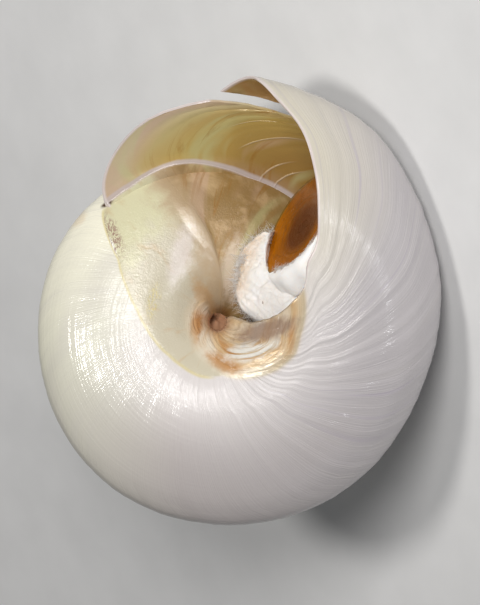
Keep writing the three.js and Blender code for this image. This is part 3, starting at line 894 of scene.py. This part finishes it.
class Nodes:
    """Shorthand for building a material's nodes."""

    def __init__(self, name):
        self.material = bpy.data.materials.new(name)
        self.material.use_nodes = True
        self.tree = self.material.node_tree
        self.shader = next(node for node in self.tree.nodes if node.type == "BSDF_PRINCIPLED")

    def feed(self, node, inputs):
        """Links or sets a node's inputs, given by name or number."""
        for key, value in inputs.items():
            if isinstance(value, bpy.types.NodeSocket):
                self.tree.links.new(value, node.inputs[key])
            elif value is not None:
                node.inputs[key].default_value = value

    def node(self, kind, inputs=None, **settings):
        made = self.tree.nodes.new(kind)
        for key, value in settings.items():
            setattr(made, key, value)
        self.feed(made, inputs or {})
        return made

    def finish(self, inputs):
        self.feed(self.shader, inputs)
        return self.material

    def attribute(self, name):
        return self.node("ShaderNodeAttribute", attribute_name=name).outputs["Fac"]

    def uv(self, name):
        return self.node("ShaderNodeUVMap", uv_map=name).outputs["UV"]

    def math(self, operation, a, b=None, clamp=False):
        return self.node("ShaderNodeMath", {0: a, 1: b}, operation=operation, use_clamp=clamp).outputs[0]

    def add(self, a, b):
        return self.math("ADD", a, b)

    def less(self, a, b):
        return self.math("SUBTRACT", a, b)

    def most(self, a, b):
        return self.math("MAXIMUM", a, b)

    def product(self, *values):
        found = values[0]
        for value in values[1:]:
            found = self.math("MULTIPLY", found, value)
        return found

    def step(self, value, low, high):
        """A smooth step from 0 at low to 1 at high."""
        inputs = {"Value": value, "From Min": min(low, high), "From Max": max(low, high)}
        inputs.update({"To Min": float(low > high), "To Max": float(low < high)})
        return self.node("ShaderNodeMapRange", inputs, interpolation_type="SMOOTHSTEP").outputs["Result"]

    def noise(self, vector, scale, detail, roughness, distortion):
        moved = self.node("ShaderNodeMapping", {"Vector": vector, "Scale": scale}).outputs["Vector"]
        inputs = {"Vector": moved, "Scale": 1.0, "Detail": detail}
        inputs.update({"Roughness": roughness, "Distortion": distortion})
        return self.node("ShaderNodeTexNoise", inputs).outputs["Fac"]

    def flat(self, uv_name, across, along, detail=3.0, roughness=0.5, distortion=0.0):
        """Noise on a UV map, by its rates across and along the map."""
        return self.noise(self.uv(uv_name), (across, along, 1.0), detail, roughness, distortion)

    def solid(self, rate, detail=3.0, roughness=0.5, distortion=0.0):
        """Noise through the piece's own space."""
        where = self.node("ShaderNodeTexCoord").outputs["Object"]
        return self.noise(where, (rate, rate, rate), detail, roughness, distortion)

    def ramp(self, value, *stops):
        made = self.node("ShaderNodeValToRGB", {"Fac": value})
        elements = made.color_ramp.elements
        while len(elements) < len(stops):
            elements.new(0.5)
        for element, (place, colour) in zip(elements, stops):
            element.position = place
            element.color = linear(colour)
        return made.outputs["Color"]

    def tint(self, colour, shade, *shares):
        """The first colour, mixed with another by the product of some shares."""
        a, b = (linear(value) if isinstance(value, tuple) else value for value in (colour, shade))
        inputs = {"Factor": self.product(*shares), MIX_COLOURS[0]: a, MIX_COLOURS[1]: b}
        return self.node("ShaderNodeMix", inputs, data_type="RGBA").outputs[MIXED_COLOUR]

    def patch(self, x, y, half_length, half_width, turn):
        """A soft uneven oval, 1 in its middle, about a spot of the picture; its length turned by an angle."""
        spot = ((x - PICTURE_AXIS[0]) / PICTURE_SCALE, (PICTURE_AXIS[1] - y) / PICTURE_SCALE, 0)
        inputs = {"Vector": self.uv("plan"), "Location": spot, "Rotation": (0, 0, math.radians(turn))}
        inputs["Scale"] = (half_length, half_width, 1)
        oval = self.node("ShaderNodeMapping", inputs, vector_type="TEXTURE").outputs["Vector"]
        length = self.node("ShaderNodeVectorMath", {0: oval}, operation="LENGTH").outputs["Value"]
        edge = self.product(self.flat("plan", 70.0, 70.0, 3.0, 0.6), 0.8)
        return self.step(self.add(length, edge), 1.45, 0.75)

    def bumps(self, *layers):
        """A normal from bumps one on another, each a height, a strength and a distance."""
        normal = None
        for height, strength, distance in layers:
            inputs = {"Height": height, "Strength": strength, "Distance": distance, "Normal": normal}
            normal = self.node("ShaderNodeBump", inputs).outputs["Normal"]
        return normal


def linear(colour):
    """Linear values of a colour given in 0 to 255 display values, with its alpha."""
    shares = [c / 255 for c in colour]
    return (*(c / 12.92 if c <= 0.04045 else ((c + 0.055) / 1.055) ** 2.4 for c in shares), 1)


# The pit's middle in the picture, and picture points to 100 mm of the plan
PICTURE_AXIS = (217, 322)
PICTURE_SCALE = 410

# Colours, in display values
COOL_WHITE = (189, 184, 186)
LIP_WHITE = (210, 203, 185)
PINK_WHITE = (186, 179, 177)
CREAM_WHITE = (211, 209, 192)
IVORY = (246, 242, 222)
CENTRE_WHITE = (228, 222, 220)
CREASE_GREY = (176, 168, 180)
THREAD_GREY = (198, 194, 188)
GLAZE_GREEN = (213, 209, 174)
GLAZE_CREAM = (203, 195, 173)
GLAZE_WHITE = (190, 168, 138)
GLAZE_PALE = (228, 218, 212)
GLAZE_EDGE_YELLOW = (212, 196, 122)
SPECK_BROWN = (134, 82, 84)
LINING_PINK = (206, 182, 154)
LINING_GREEN = (196, 172, 116)
LINING_TAN = (190, 160, 86)
LINING_SHADED_DEEP = (158, 122, 62)
CLAW_GOLD = (164, 124, 64)
SEAM_PINK = (198, 166, 146)
STREAK_GOLD = (158, 112, 44)
SHEEN_GREEN = (198, 200, 148)
SHEEN_PINK = (212, 180, 160)
WALL_SHADED_TAN = (158, 127, 77)
WALL_LIGHT = (198, 168, 124)
WALL_PAINTED_LIGHT = (226, 208, 186)
SEAM_LILAC = (204, 190, 186)
SEAM_BROWN = (74, 46, 20)
GOLD_LIGHT = (250, 240, 222)
GOLD_GLEAM = (255, 250, 240)
GOLD_MID = (228, 198, 156)
GOLD_DEEP = (204, 142, 70)
# Painted shade of the shoulder under the tuft
SHOULDER_SHADE_BROWN = (162, 130, 112)
PIT_GOLD = (188, 136, 74)
PIT_BROWN = (204, 164, 132)
PIT_EDGE_TAN = (192, 152, 104)
WEDGE_HIGHLIGHT_WHITE = (246, 244, 238)
RIM_WHITE = (224, 212, 208)
HORN_MIDDLE = (84, 40, 12)
HORN_BROWN = (100, 50, 14)
HORN_AMBER = (150, 86, 6)
HORN_LIGHT = (180, 106, 4)
HORN_OLIVE = (136, 102, 30)
HORN_EDGE = (128, 104, 44)
HORN_LINE = (92, 50, 18)
HORN_MOTTLE = (100, 54, 12)
HORN_TIP_SHADE = (92, 50, 14)
COTTON_SHADE = (254, 246, 238)
COTTON_WHITE = (255, 253, 250)
COTTON_TAN = (216, 188, 154)
COTTON_SPECK = (120, 96, 74)
FLOOR_GREYS = ((222, 222, 222), (228, 228, 228))

# Patches of colour: x, y in the picture, half length, half width, turn
WARM_PATCH = (76, 218, 0.035, 0.02, 50)
HIGHLIGHT_WEDGE_PATCH = (109, 246, 0.014, 0.04, 22)
SPECK_PATCH = (112, 236, 0.026, 0.075, 22)
PALE_PATCH = (180, 255, 0.1, 0.034, 75)
DOT_PATCH = (153, 302, 0.06, 0.02, 80)
PIT_EDGE_PATCH = (203, 296, 0.06, 0.026, -62)
PAINTED_LIGHT_PATCH = (232, 270, 0.11, 0.04, 78)
CORNER_PATCH = (105, 203, 0.022, 0.008, 30)
# Patches of the golden floor, with their shares and colours: the two lightest are painted highlights, the
# brown one under the tuft a painted shade
GOLD_PATCHES = (
    ((195, 328, 0.06, 0.022, 80), 0.9, GOLD_DEEP),
    ((200, 358, 0.04, 0.016, 70), 0.7, GOLD_LIGHT),
    ((224, 364, 0.065, 0.03, -25), 0.85, GOLD_DEEP),
    ((252, 350, 0.09, 0.032, 15), 1.0, GOLD_GLEAM),
    ((266, 330, 0.11, 0.034, 14), 0.75, SHOULDER_SHADE_BROWN),
)
# Pale folds in the nacre of the roof: growth angle, first and last place
LIGHT_FOLDS = ((-31.0, 2.4, 3.8), (-44.5, 1.4, 3.2), (-60.0, 0.0, 1.7), (-66.0, 0.0, 1.6))
# Growth angles at which the ramps of the outer wall and of the lining end
EXTERIOR_AGE = -480.0
LINING_DEPTH = -100.0


def shell_exterior(n, growth, place, lines):
    """Colour of the outer wall: cool by the lip, warmer with age, whiter by the pit; the greys of its younger
    part, at the bottom and right, are partly its own tone and partly painted shade.
    """
    colour = n.ramp(
        n.math("DIVIDE", growth, EXTERIOR_AGE, clamp=True),
        *((0.0, LIP_WHITE), (0.08, COOL_WHITE), (0.22, COOL_WHITE), (0.36, PINK_WHITE)),
        *((0.5, CREAM_WHITE), (0.63, IVORY), (1.0, IVORY)),
    )
    bands = n.flat("growth", 46.0, 1.6, 3.0, 0.55)
    clouds = n.flat("growth", 7.0, 3.0, 2.0)
    creases = n.flat("growth", 110.0, 1.2, 2.0)
    colour = n.tint(colour, PINK_WHITE, n.step(clouds, 0.5, 0.7), 0.35)
    colour = n.tint(colour, THREAD_GREY, n.step(bands, 0.52, 0.72), 0.2)
    colour = n.tint(colour, CENTRE_WHITE, n.step(place, 11.0, 15.0), 0.7)
    colour = n.tint(colour, GOLD_MID, n.patch(*WARM_PATCH), 0.35)
    colour = n.tint(colour, CREASE_GREY, n.step(creases, 0.6, 0.74), n.step(growth, -170.0, -60.0), 0.7)
    return n.tint(colour, THREAD_GREY, n.step(lines, 0.55, 0.75), 0.3)


def shell_glaze(n, axis_mm, ridge_mm):
    """Colour of the glaze spread over the whorl before: green by the seam, whiter by the ridge."""
    cloud = n.less(n.flat("plan", 22.0, 22.0, 4.0, 0.6, 0.4), 0.5)
    seamward = n.add(n.step(axis_mm, 18.0, 34.0), n.product(cloud, 1.3))
    colour = n.tint(GLAZE_CREAM, GLAZE_GREEN, n.step(seamward, 0.15, 0.9))
    by_ridge = n.step(n.add(ridge_mm, n.product(cloud, 14.0)), -10.0, -1.0)
    colour = n.tint(colour, GLAZE_WHITE, by_ridge)
    veins = n.flat("polar", 40.0, 10.0, 4.0, 0.6, 0.8)
    colour = n.tint(colour, WALL_LIGHT, n.step(veins, 0.55, 0.72), 0.4)
    speck = n.flat("plan", 150.0, 80.0, 3.0, 0.6, 1.5)
    # A painted highlight: a white wedge on the glaze by the specks
    colour = n.tint(colour, WEDGE_HIGHLIGHT_WHITE, n.patch(*HIGHLIGHT_WEDGE_PATCH))
    colour = n.tint(colour, SPECK_BROWN, n.step(speck, 0.47, 0.55), n.patch(*SPECK_PATCH), 0.7)
    colour = n.tint(colour, GLAZE_PALE, n.patch(*PALE_PATCH), 0.7)
    colour = n.tint(colour, GLAZE_EDGE_YELLOW, n.step(speck, 0.5, 0.56), n.patch(*DOT_PATCH), 0.6)
    # A tan patch by the upper left of the pit
    return n.tint(colour, PIT_EDGE_TAN, n.patch(*PIT_EDGE_PATCH), 0.7)


def shell_lining(n, growth, place, inside):
    """Nacre of the inside, pinkish at the lip and golden further in, and of the wall past the ridge; the deep
    tan further in and the wall's tan are partly painted shade.
    """
    colour = n.ramp(
        n.math("DIVIDE", growth, LINING_DEPTH, clamp=True),
        *((0.0, LINING_PINK), (0.06, LINING_PINK), (0.15, LINING_GREEN)),
        *((0.28, LINING_TAN), (0.6, LINING_SHADED_DEEP), (1.0, LINING_SHADED_DEEP)),
    )
    clouds = n.flat("growth", 24.0, 7.0, 4.0, 0.6, 0.8)
    # The wall's tan is partly its nacre and partly painted shade of the outer lip
    wall = n.tint(WALL_SHADED_TAN, WALL_LIGHT, n.step(clouds, 0.45, 0.68))
    colour = n.tint(wall, colour, inside)
    colour = n.tint(colour, CLAW_GOLD, n.step(place, 4.3, 5.3), inside, 0.9)
    colour = n.tint(colour, SEAM_PINK, n.step(place, 0.9, 0.1), inside, 0.25)
    tints = n.flat("streaks", 22.0, 3.0, 3.0, 0.55, 0.5)
    colour = n.tint(colour, SHEEN_GREEN, n.step(tints, 0.54, 0.7), 0.5)
    colour = n.tint(colour, SHEEN_PINK, n.step(tints, 0.44, 0.32), 0.4)
    streaks = n.flat("streaks", 56.0, 3.2, 5.0, 0.65, 1.2)
    colour = n.tint(colour, STREAK_GOLD, n.step(streaks, 0.52, 0.7), n.step(growth, -10.0, -22.0), 0.8)
    # A light patch on the wall between the ridge and the tuft: partly the wall's lighter tone, partly painted
    # light over the shade under the tuft
    painted_light = n.product(n.patch(*PAINTED_LIGHT_PATCH), n.step(clouds, 0.2, 0.5))
    colour = n.tint(colour, WALL_PAINTED_LIGHT, painted_light, n.less(1.0, inside), 0.85)
    folds = 0.0
    for middle, first, last in LIGHT_FOLDS:
        offset = n.math("ABSOLUTE", n.less(growth, middle))
        along = n.product(n.step(place, first - 0.3, first + 0.2), n.step(place, last, last - 0.8))
        folds = n.add(folds, n.product(n.step(offset, 0.6, 0.0), along))
    folds = n.product(folds, inside)
    return n.tint(colour, GOLD_LIGHT, folds, 0.25), folds


def shell_gold(n, wrinkles):
    """The wrinkled golden floor round the pit, with painted highlights on it and a browner painted shade on
    the shoulder under the tuft.
    """
    broad = n.flat("folds", 3.0, 2.2, 3.0, 0.55, 0.8)
    tone = n.add(n.product(broad, 0.85), n.product(wrinkles, 0.15))
    colour = n.ramp(tone, (0.36, GOLD_DEEP), (0.47, GOLD_MID), (0.62, GOLD_LIGHT))
    fine = n.step(wrinkles, 0.4, 0.54)
    for spot, share, shade in GOLD_PATCHES:
        # The GOLD_LIGHT and GOLD_GLEAM patches are painted highlights, broken up by the wrinkles
        highlight_wrinkles = (fine,) if shade in (GOLD_LIGHT, GOLD_GLEAM) else ()
        colour = n.tint(colour, shade, n.patch(*spot), share, *highlight_wrinkles)
    return colour


def shell_material():
    n = Nodes("pearly_shell")
    names = ("growth_deg", "place", "inside", "glaze_mm", "gold_mm", "ridge_mm", "axis_mm", "callus_mm")
    growth, place, within, glaze_mm, gold_mm, ridge_mm, axis_mm, callus_mm = map(n.attribute, names)
    strip = n.product(within, n.step(callus_mm, 0.15, -0.15), n.step(place, 1.5, 1.2))
    inside = n.less(within, strip)
    outside = n.less(1.0, inside)
    on_base = n.most(n.step(place, JOINT_PLACE - 0.2, JOINT_PLACE + 0.3), strip)
    lines = n.flat("growth", 620.0, 4.0, 2.0)
    threads = n.flat("growth", 9.0, 125.0, 1.0, 0.4)
    wrinkles = n.flat("folds", 5.0, 13.0, 4.0, 0.6, 0.7)

    colour = shell_exterior(n, growth, place, lines)
    glaze = n.product(n.step(glaze_mm, -0.3, 0.6), on_base, outside)
    colour = n.tint(colour, shell_glaze(n, axis_mm, ridge_mm), glaze)
    border = n.product(n.step(n.math("ABSOLUTE", glaze_mm), 0.7, 0.0), on_base, outside)
    colour = n.tint(colour, GLAZE_EDGE_YELLOW, border, n.step(gold_mm, -1.0, -3.0), 0.6)

    crisp, soft = n.step(ridge_mm, 0.0, 1.2), n.step(ridge_mm, -6.0, 6.0)
    far = n.step(axis_mm, 25.0, 31.0)
    past = n.add(n.product(crisp, n.less(1.0, far)), n.product(soft, far))
    past_ridge = n.product(past, on_base, outside)
    lining = n.most(inside, past_ridge)
    lining_colour, folds = shell_lining(n, growth, place, inside)
    colour = n.tint(colour, lining_colour, lining)
    seam = n.product(n.step(callus_mm, -0.5, 0.1), n.step(callus_mm, 1.1, 0.5), within)
    colour = n.tint(colour, SEAM_LILAC, seam, n.step(place, 1.5, 1.2), 0.85)
    colour = n.tint(colour, SEAM_BROWN, n.patch(*CORNER_PATCH), outside)

    gold = n.product(n.step(gold_mm, -1.2, 3.2), on_base, n.step(growth, -300.0, -270.0), outside)
    colour = n.tint(colour, shell_gold(n, wrinkles), gold)
    colour = n.tint(colour, PIT_GOLD, n.step(axis_mm, 5.0, 2.4), on_base, 0.6)
    colour = n.tint(colour, PIT_BROWN, n.step(place, PIT_PLACE - 0.4, PIT_PLACE + 0.1), on_base)
    colour = n.tint(colour, RIM_WHITE, n.step(growth, -1.2, -0.1), n.step(place, 15.8, 14.6))

    smooth = n.most(lining, n.most(gold, glaze))
    matt = n.less(1.0, smooth)
    old = n.step(growth, -120.0, -200.0)
    fine_threads = n.product(threads, matt, n.add(n.product(old, 0.8), 0.2))
    fine_lines = n.product(lines, matt)
    by_lines = n.most(n.step(growth, -255.0, -285.0), n.step(growth, -190.0, -150.0))
    by_lines = n.product(by_lines, 0.7)
    gloss_lines = n.product(fine_lines, n.add(by_lines, 0.3))
    gloss_threads = n.product(fine_threads, n.less(1.0, by_lines))
    ripples = n.product(n.flat("plan", 34.0, 34.0, 3.0, 0.5, 0.8), smooth)
    grain = n.product(n.flat("plan", 200.0, 200.0, 3.0, 0.6), n.most(glaze, past_ridge))
    gloss = n.bumps((gloss_lines, 1.0, 0.00016), (gloss_threads, 1.0, 0.00014), (grain, 0.8, 0.00022))
    relief = n.bumps(
        (fine_lines, 0.8, 0.00011),
        (fine_threads, 0.6, 0.00008),
        (grain, 0.5, 0.0001),
        (ripples, 0.3, 0.0003),
        (n.product(wrinkles, gold), 0.9, 0.001),
        (folds, 0.5, 0.0002),
    )
    rough = n.add(n.product(lines, matt, 0.15), n.add(n.product(matt, 0.1), 0.22))
    inputs = {
        "Base Color": colour,
        "Metallic": n.add(n.product(lining, 0.15), n.product(gold, 0.2)),
        "Roughness": n.add(rough, n.product(past_ridge, 0.14)),
        "Normal": relief,
        "Coat Normal": gloss,
        "Coat Weight": 0.65,
        "Coat Roughness": 0.1,
    }
    return n.finish(inputs)


def horn_material():
    n = Nodes("horn")
    rings = n.node("ShaderNodeSeparateXYZ", {0: n.uv("rings")})
    turn, share = rings.outputs["X"], rings.outputs["Y"]
    wander = n.less(n.solid(160, 3.0, 0.55), 0.5)
    colour = n.ramp(
        n.add(share, n.product(wander, 0.22)),
        *((0.0, HORN_MIDDLE), (0.36, HORN_BROWN), (0.56, HORN_AMBER)),
        *((0.9, HORN_LIGHT), (0.97, HORN_OLIVE), (1.0, HORN_EDGE)),
    )
    lines = n.flat("rings", 1.5, 60.0, 3.0, 0.6)
    mottle = n.solid(330, 4.0, 0.6, 1.0)
    # Darker towards the lid's end by the lip: partly its darker horn, partly painted shade of the lip
    tip = n.most(n.step(turn, 0.36, 0.2), n.step(turn, 0.8, 0.95))
    colour = n.tint(colour, HORN_LINE, n.step(lines, 0.5, 0.7), 0.22)
    colour = n.tint(colour, HORN_MOTTLE, n.step(mottle, 0.5, 0.68), 0.38)
    colour = n.tint(colour, HORN_TIP_SHADE, tip, n.step(share, 0.1, 0.6), 0.5)
    inputs = {
        "Base Color": colour,
        "Roughness": n.add(n.product(lines, 0.2), 0.22),
        "Normal": n.bumps((lines, 0.3, 0.0003), (mottle, 0.6, 0.0006)),
        "Specular IOR Level": 0.15,
        "Coat Weight": 0.04,
        "Coat Roughness": 0.1,
    }
    return n.finish(inputs)


def cotton_material():
    n = Nodes("cotton")
    fluff = n.solid(400, 5.0, 0.65, 0.8)
    specks = n.solid(520, 1.0, 0.4)
    thin = n.step(n.attribute("over_wall_mm"), 6.5, 1.0)
    colour = n.ramp(fluff, (0.3, COTTON_SHADE), (0.6, COTTON_WHITE))
    colour = n.tint(colour, COTTON_TAN, thin, n.step(fluff, 0.2, 0.55), 0.9)
    colour = n.tint(colour, COTTON_SPECK, n.step(specks, 0.76, 0.8), 0.8)
    inputs = {
        "Base Color": colour,
        "Normal": n.bumps((fluff, 0.3, 0.0004)),
        "Roughness": 0.95,
        "Sheen Weight": 0.7,
        "Sheen Roughness": 0.6,
        "Specular IOR Level": 0.2,
        "Subsurface Weight": 0.5,
        "Subsurface Radius": (0.005, 0.0045, 0.004),
    }
    return n.finish(inputs)


def floor_material():
    n = Nodes("pale_floor")
    colour = n.ramp(n.solid(60), (0.3, FLOOR_GREYS[0]), (0.7, FLOOR_GREYS[1]))
    return n.finish({"Base Color": colour, "Roughness": 0.8})


# Camera: it looks along the shell's axis on to the base, with the shell frame's +Y up
VIEW_TARGET = (5.6, 4.76, 70.0)
VIEW_HEIGHT = 147.6
VIEW_DISTANCE = 1100.0
SENSOR = 36.0


def shell_direction(vector):
    return (REST.to_3x3() @ Vector(vector)).normalized()


def add_camera():
    data = bpy.data.cameras.new("camera")
    data.sensor_fit = "VERTICAL"
    data.sensor_height = SENSOR
    data.lens = SENSOR * VIEW_DISTANCE / VIEW_HEIGHT
    data.clip_end = 10
    camera = add_object("camera", data)
    right, up, back = (shell_direction(axis) for axis in ((1, 0, 0), (0, 1, 0), (0, 0, 1)))
    turn = Matrix((right, up, back)).transposed().to_4x4()
    target = REST @ Vector(VIEW_TARGET)
    camera.matrix_world = Matrix.Translation(target + back * VIEW_DISTANCE * MM) @ turn
    bpy.context.scene.camera = camera


# Lights: direction in the shell's own frame, distance and size in metres, power and colour
LIGHTS = (
    ("key", (-0.68, 0.08, 0.73), 0.6, 0.11, 1.3, (1.0, 0.98, 0.95)),
    ("front", (-0.14, 0.24, 0.96), 0.9, 0.4, 4.6, (1.0, 0.985, 0.965)),
    ("low", (0.53, 0.13, 0.84), 1.0, 0.1, 1.1, (0.97, 0.98, 1.0)),
)
LIGHT_TARGET = (5.6, 4.76, 50.0)
WORLD_COLOUR = (0.9, 0.92, 0.95, 1)
WORLD_LEVEL = 0.12
FLOOR_HALF = 1.5


def add_lights():
    middle = REST @ Vector(LIGHT_TARGET)
    for name, direction, distance, size, power, colour in LIGHTS:
        data = bpy.data.lights.new(name, "AREA")
        data.shape = "DISK"
        data.size = size
        data.energy = power
        data.color = colour
        light = add_object(name, data)
        toward = shell_direction(direction)
        light.location = middle + toward * distance
        light.rotation_euler = toward.to_track_quat("Z", "Y").to_euler()
    world = bpy.data.worlds.new("studio")
    world.use_nodes = True
    sky = world.node_tree.nodes["Background"]
    sky.inputs["Color"].default_value = WORLD_COLOUR
    sky.inputs["Strength"].default_value = WORLD_LEVEL
    bpy.context.scene.world = world


def add_floor():
    corners = [(x * FLOOR_HALF, y * FLOOR_HALF, 0) for x, y in ((-1, -1), (1, -1), (1, 1), (-1, 1))]
    floor = object_from("floor", corners, [[0, 1, 2, 3]])
    floor.data.materials.append(floor_material())


def main():
    bpy.context.scene.view_settings.view_transform = "Standard"
    pieces = (
        (make_shell, "shell", shell_material, "pearly_shell"),
        (make_lid, "operculum", horn_material, "horn"),
        (make_cotton, "cotton_wad", cotton_material, "cotton"),
    )
    for make, node, material, slot in pieces:
        piece = make()
        piece.data.materials.append(material())
        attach(piece, "root")
        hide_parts(node)
    add_floor()
    add_camera()
    add_lights()


main()
